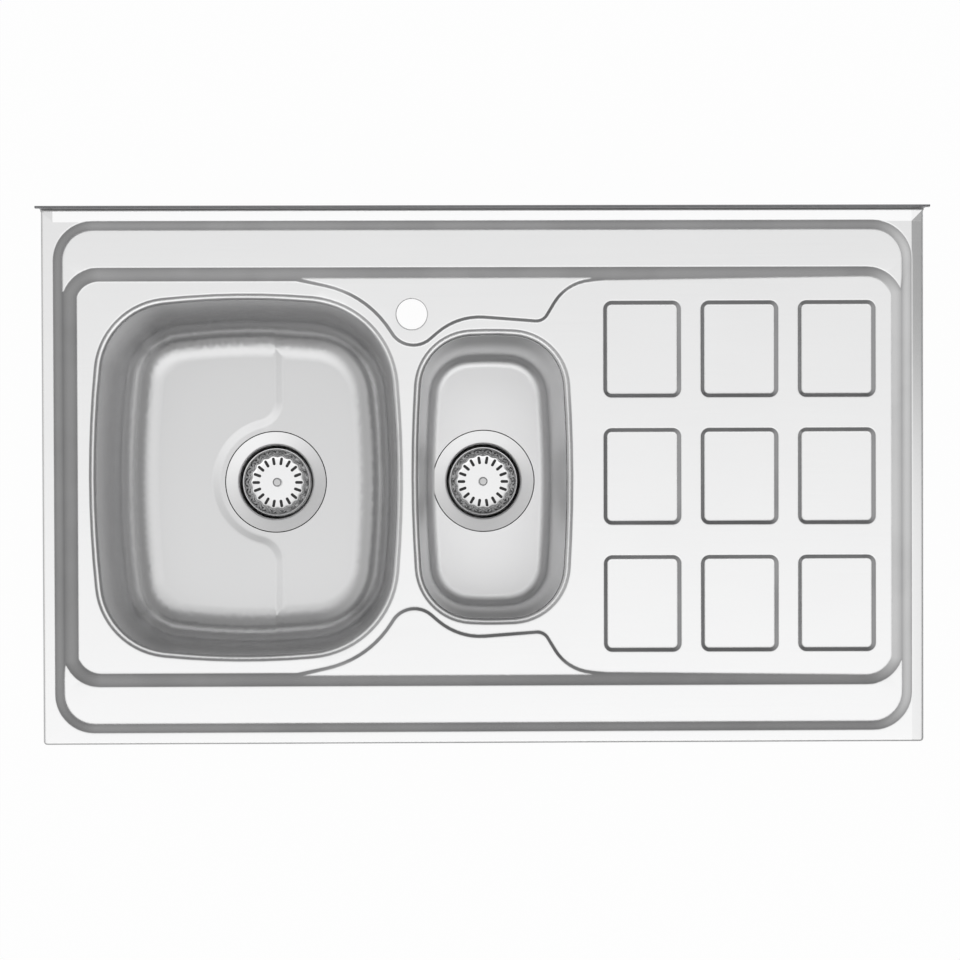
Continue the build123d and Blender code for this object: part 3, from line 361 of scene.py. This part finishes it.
bitumen = grainy("bitumen", (0.02, 0.02, 0.022, 1.0), (0.07, 0.07, 0.075, 1.0),
                 grain=700.0, depth=0.0005, roughness=0.8)
for pads in ("large_bowl_damping_pads", "small_bowl_damping_pads"):
    stand_for(smooth_copy(pads), pads, bitumen, "sink")


# Drainer stiffeners: two channels of plain mill steel, which keep the thin sheet of the drainer from giving.
# They are spot-welded to it from below.
channel_finish = brushed_steel("mill_steel", (300.0, 20.0, 300.0), tone=0.58, roughness=0.42, spread=0.14)
channels = smooth_copy("drainer_stiffeners")
stand_for(channels, "drainer_stiffeners", channel_finish, "sink")


# Waste fittings: a spun steel flange in each bowl floor, clamped by a screw to a plastic body below, with
# rubber gaskets above and below the bowl, and a coupling nut and washer for the drain pipe.
SPUN_ANISOTROPY = 0.6
flange_finish = brushed_steel("spun_steel", (300.0, 300.0, 300.0), tone=0.83, roughness=0.34, spread=0.08)
flange_finish.node_tree.nodes["Principled BSDF"].inputs["Anisotropic"].default_value = SPUN_ANISOTROPY
screw_finish = brushed_steel("turned_steel", (900.0, 900.0, 900.0), tone=0.62, roughness=0.28, spread=0.10)
gasket_rubber = grainy("gasket_rubber", (0.018, 0.018, 0.018, 1.0), (0.04, 0.04, 0.04, 1.0),
                       grain=900.0, depth=0.0001, roughness=0.6)
body_plastic = grainy("body_plastic", (0.76, 0.76, 0.75, 1.0), (0.84, 0.84, 0.83, 1.0),
                      grain=500.0, depth=0.00006, roughness=0.42)
nut_plastic = grainy("nut_plastic", (0.72, 0.72, 0.71, 1.0), (0.80, 0.80, 0.79, 1.0),
                     grain=500.0, depth=0.00006, roughness=0.42)
DULL_BRASS = (0.52, 0.36, 0.15, 1.0)
BRIGHT_BRASS = (0.74, 0.56, 0.28, 1.0)
BRASS_ROUGHNESS = 0.3
BRASS_SPREAD = 0.15


def turned_brass(name):
    """Yellow brass with a fine turned grain and duller, browner patches."""
    finish, shader, shade = new_finish(name)
    grain = noise(shade, (200.0, 200.0, 1500.0), scale=1.0, detail=3.0)
    patch = noise(shade, (1.0, 1.0, 1.0), scale=220.0, detail=2.0)
    shader.inputs["Metallic"].default_value = 1.0
    link(shader, "Base Color", mixed(shade, patch, DULL_BRASS, BRIGHT_BRASS))
    link(shader, "Roughness", (grain - 0.5) * BRASS_SPREAD + BRASS_ROUGHNESS)
    link(shader, "Normal", bumped(shade, grain, depth=0.00004, strength=0.3))
    return finish


insert_brass = turned_brass("turned_brass")
for bowl in ("large", "small"):
    for part, finish, slot in (("waste_flange", flange_finish, "flange_steel"),
                               ("flange_gasket", gasket_rubber, "gasket_rubber"),
                               ("body_gasket", gasket_rubber, "gasket_rubber"),
                               ("waste_body", body_plastic, "body_plastic"),
                               ("clamp_screw", screw_finish, "screw_steel"),
                               ("screw_insert", insert_brass, "insert_brass"),
                               ("outlet_nut", nut_plastic, "nut_plastic"),
                               ("outlet_washer", gasket_rubber, "gasket_rubber")):
        node = bowl + "_" + part
        stand_for(smooth_copy(node), node, finish, "sink")


# Strainer baskets: bright cups pressed from thin steel, with a flat floor, a fluted wall and a rolled rim.
# Each flute ends in a slot for the water, and the whole basket lifts out of its waste.
FLUTES = 18
FLUTE_DEPTH = 0.0011
FLUTE_POINTS = 16
BASKET_SHEET = 0.0007
DRAWN_THINNER = 0.9
BASKET_CREASE = math.radians(40.0)
SLOT_START = 0.0216
SLOT_END = 0.0312
SLOT_WIDTH = 0.0036
SLOT_POINTS = 24
CUTTER_HEIGHT = 0.012
PIN_HOLE = 0.0026
BASKET_SECTION = ((0.012, 0.0), (0.0215, 0.0), (0.0285, 0.0), (0.0312, 0.0002),
                  (0.0332, 0.0011), (0.0347, 0.0028), (0.0356, 0.0052), (0.0364, 0.0082),
                  (0.0372, 0.0112), (0.0381, 0.0142), (0.0390, 0.0166), (0.0397, 0.0180),
                  (0.0404, 0.0187), (0.0411, 0.0188), (0.0415, 0.0184), (0.0416, 0.0178))


def slot_cutter(centre):
    """Upright rounded blocks in a ring, one for each slot."""
    middle = (centre[0] + SLOT_START + SLOT_WIDTH / 2, centre[1], centre[2])
    bpy.ops.object.select_all(action="DESELECT")
    bpy.ops.mesh.primitive_cylinder_add(vertices=SLOT_POINTS, radius=SLOT_WIDTH / 2, depth=CUTTER_HEIGHT,
                                        location=middle)
    cutter = bpy.context.active_object
    bpy.ops.object.transform_apply(location=True)
    bpy.ops.object.mode_set(mode="EDIT")
    bpy.ops.mesh.select_all(action="DESELECT")
    bpy.ops.object.mode_set(mode="OBJECT")
    for vertex in cutter.data.vertices:
        vertex.select = vertex.co.x > middle[0] + SLOT_WIDTH / 100
    bpy.ops.object.mode_set(mode="EDIT")
    bpy.ops.transform.translate(value=(SLOT_END - SLOT_START - SLOT_WIDTH, 0.0, 0.0))
    bpy.ops.mesh.select_all(action="SELECT")
    turn = 2 * math.pi / FLUTES
    bpy.ops.mesh.spin(steps=FLUTES - 1, dupli=True, angle=turn * (FLUTES - 1), center=centre,
                      axis=(0.0, 0.0, 1.0))
    bpy.ops.mesh.select_all(action="SELECT")
    bpy.ops.mesh.normals_make_consistent(inside=False)
    bpy.ops.object.mode_set(mode="OBJECT")
    return cutter


def fluted_basket(node):
    """The basket drawn up ring by ring from its pin hole, fluted, given its sheet's thickness and slotted."""
    low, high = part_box(node)
    centre = ((low.x + high.x) / 2, (low.y + high.y) / 2, low.z + BASKET_SHEET)
    bpy.ops.object.select_all(action="DESELECT")
    bpy.ops.mesh.primitive_circle_add(vertices=FLUTES * FLUTE_POINTS, radius=PIN_HOLE, location=centre)
    basket = bpy.context.active_object
    basket.name = node + "_fluted"
    bpy.ops.object.transform_apply(location=True)
    bpy.ops.object.mode_set(mode="EDIT")
    bpy.ops.mesh.select_all(action="SELECT")
    radius, level = PIN_HOLE, 0.0
    for next_radius, next_level in BASKET_SECTION:
        bpy.ops.mesh.extrude_edges_move(TRANSFORM_OT_translate={"value": (0.0, 0.0, next_level - level)})
        grow = next_radius / radius
        bpy.ops.transform.resize(value=(grow, grow, 1.0), center_override=centre)
        radius, level = next_radius, next_level
    bpy.ops.mesh.select_all(action="SELECT")
    bpy.ops.mesh.normals_make_consistent(inside=False)
    bpy.ops.object.mode_set(mode="OBJECT")
    if basket.data.polygons[0].normal.z < 0:
        basket.data.flip_normals()
    wall_height = BASKET_SECTION[-1][1]
    for vertex in basket.data.vertices:
        out = Vector((vertex.co.x - centre[0], vertex.co.y - centre[1], 0.0))
        climb = min(max((vertex.co.z - centre[2]) / wall_height, 0.0), 1.0)
        swell = FLUTE_DEPTH * math.sin(math.pi * climb ** 0.5)
        vertex.co += out.normalized() * swell * math.cos(FLUTES * math.atan2(out.y, out.x))
    bpy.ops.object.modifier_add(type="SOLIDIFY")
    basket.modifiers[-1].thickness = BASKET_SHEET * DRAWN_THINNER
    basket.modifiers[-1].offset = -1.0
    bpy.ops.object.modifier_apply(modifier=basket.modifiers[-1].name)
    cutter = slot_cutter(centre)
    bpy.ops.object.select_all(action="DESELECT")
    basket.select_set(True)
    bpy.context.view_layer.objects.active = basket
    bpy.ops.object.modifier_add(type="BOOLEAN")
    basket.modifiers[-1].object = cutter
    bpy.ops.object.modifier_apply(modifier=basket.modifiers[-1].name)
    bpy.data.objects.remove(cutter)
    bpy.ops.object.shade_smooth_by_angle(angle=BASKET_CREASE)
    return basket


BASKET_GRAIN = (400.0, 400.0, 400.0)
basket_finish = brushed_steel("pressed_bright_steel", BASKET_GRAIN, tone=0.80, roughness=0.14, spread=0.06)
for bowl in ("large", "small"):
    node = bowl + "_basket"
    stand_for(fluted_basket(node), node, basket_finish, bowl + "_strainer")


# Pull pins, plugs and nuts: a turned pin stands in each basket, passes through its rubber plug
# and is held by a small brass nut below.
pin_finish = brushed_steel("bright_pin", (500.0, 500.0, 500.0), tone=0.56, roughness=0.26, spread=0.06)
plug_rubber = grainy("plug_rubber", (0.02, 0.02, 0.02, 1.0), (0.05, 0.05, 0.05, 1.0),
                     grain=900.0, depth=0.0001, roughness=0.55)
for bowl in ("large", "small"):
    for part, finish, slot in (("basket_pin", pin_finish, "pin_chrome"),
                               ("basket_plug", plug_rubber, "plug_rubber"),
                               ("basket_nut", insert_brass, "insert_brass")):
        node = bowl + "_" + part
        stand_for(smooth_copy(node), node, finish, bowl + "_strainer")


# Floor: a plain pale studio floor just under the wastes, which takes a soft shadow of the sink.
# It is white to the camera and in the steel.
FLOOR_GAP = 0.005
FLOOR_SIZE = 24.0
FLOOR_TONE = (0.86, 0.86, 0.86, 1.0)
FLOOR_ROUGHNESS = 0.9
FLOOR_WHITENESS = 0.97
floor_z = cad_box[0][2] - FLOOR_GAP
bpy.ops.object.select_all(action="DESELECT")
bpy.ops.mesh.primitive_plane_add(size=FLOOR_SIZE, location=(0.0, 0.0, floor_z))
floor = bpy.context.active_object
floor.name = "studio_floor"
floor_finish, floor_shader, shade = new_finish("studio_floor")
floor_shader.inputs["Base Color"].default_value = FLOOR_TONE
floor_shader.inputs["Roughness"].default_value = FLOOR_ROUGHNESS
seen = shade.node("ShaderNodeLightPath", {}, {}, "Is Camera Ray")
mirrored = shade.node("ShaderNodeLightPath", {}, {}, "Is Glossy Ray")
through = shade.node("ShaderNodeLightPath", {}, {}, "Is Transmission Ray")
white = shade.node("ShaderNodeEmission", {}, {"Color": (1.0, 1.0, 1.0, 1.0), "Strength": 1.0})
shown = shade.math("MAXIMUM", shade.math("MAXIMUM", seen, mirrored), through) * FLOOR_WHITENESS
shaded = Shade(shade.tree, floor_shader.outputs[0])
surface = shade.node("ShaderNodeMixShader", {}, {0: shown, 1: shaded, 2: white})
link(floor_finish.node_tree.nodes["Material Output"], "Surface", surface)
floor.data.materials.append(floor_finish)


# Light: a soft white ceiling over the sink, brighter to the front, that fades to a dim room all round.
# Each edge of the ceiling is given by where it starts and where it is full, in heights of the ceiling.
LEFT_EDGE = (-0.75, -0.20)
RIGHT_EDGE = (1.05, 0.45)
FRONT_EDGE = (-1.05, -0.45)
BACK_EDGE = (0.9, 0.3)
CEILING_LEVEL = 1.115
CEILING_SLANT = 1.03
SLANT_FRONT = -0.22
SLANT_BACK = 0.16
ROOM_LEVEL = 0.37
ROOM_SIDES = 0.22
ROOM_TO_LEFT = 0.22
ROOM_TO_FRONT = 0.04
HORIZON = 0.02
world = bpy.data.worlds.new("studio")
bpy.context.scene.world = world
world.use_nodes = True
sky = Shade(world.node_tree)
direction = sky.node("ShaderNodeTexCoord", {}, {}, "Generated")
across = sky.node("ShaderNodeSeparateXYZ", {}, {0: direction}, 0)
along = sky.node("ShaderNodeSeparateXYZ", {}, {0: direction}, 1)
height = sky.node("ShaderNodeSeparateXYZ", {}, {0: direction}, 2)
overhead = sky.math("MAXIMUM", height, HORIZON)
aside = across / overhead
ahead = along / overhead
ceiling = fades(sky, aside, *LEFT_EDGE) * fades(sky, aside, *RIGHT_EDGE)
ceiling = ceiling * fades(sky, ahead, *FRONT_EDGE) * fades(sky, ahead, *BACK_EDGE)
room = ROOM_LEVEL + ROOM_SIDES * across * across - ROOM_TO_LEFT * across - ROOM_TO_FRONT * along
slant = sky.math("MINIMUM", sky.math("MAXIMUM", ahead, SLANT_FRONT), SLANT_BACK)
glow = room + ceiling * (CEILING_LEVEL - room - CEILING_SLANT * slant)
background = world.node_tree.nodes["Background"]
link(background, "Strength", glow)
background.inputs["Color"].default_value = (1.0, 1.0, 1.0, 1.0)


# Camera: above the sink and looking almost straight down, from the photograph's place.
# Its shift is only what the photograph's framing needs.
camera_data = bpy.data.cameras.new("camera")
camera = bpy.data.objects.new("camera", camera_data)
bpy.context.scene.collection.objects.link(camera)
camera.location = (-0.0635, -0.0750, 2.535)
camera.rotation_euler = (math.radians(-0.7), math.radians(-0.63), math.radians(-0.195))
camera_data.lens = 82.66
camera_data.sensor_width = 36.0
camera_data.shift_x = 0.0289
camera_data.shift_y = 0.0933
camera_data.clip_end = 50.0
bpy.context.scene.camera = camera
bpy.context.scene.view_settings.view_transform = "Standard"
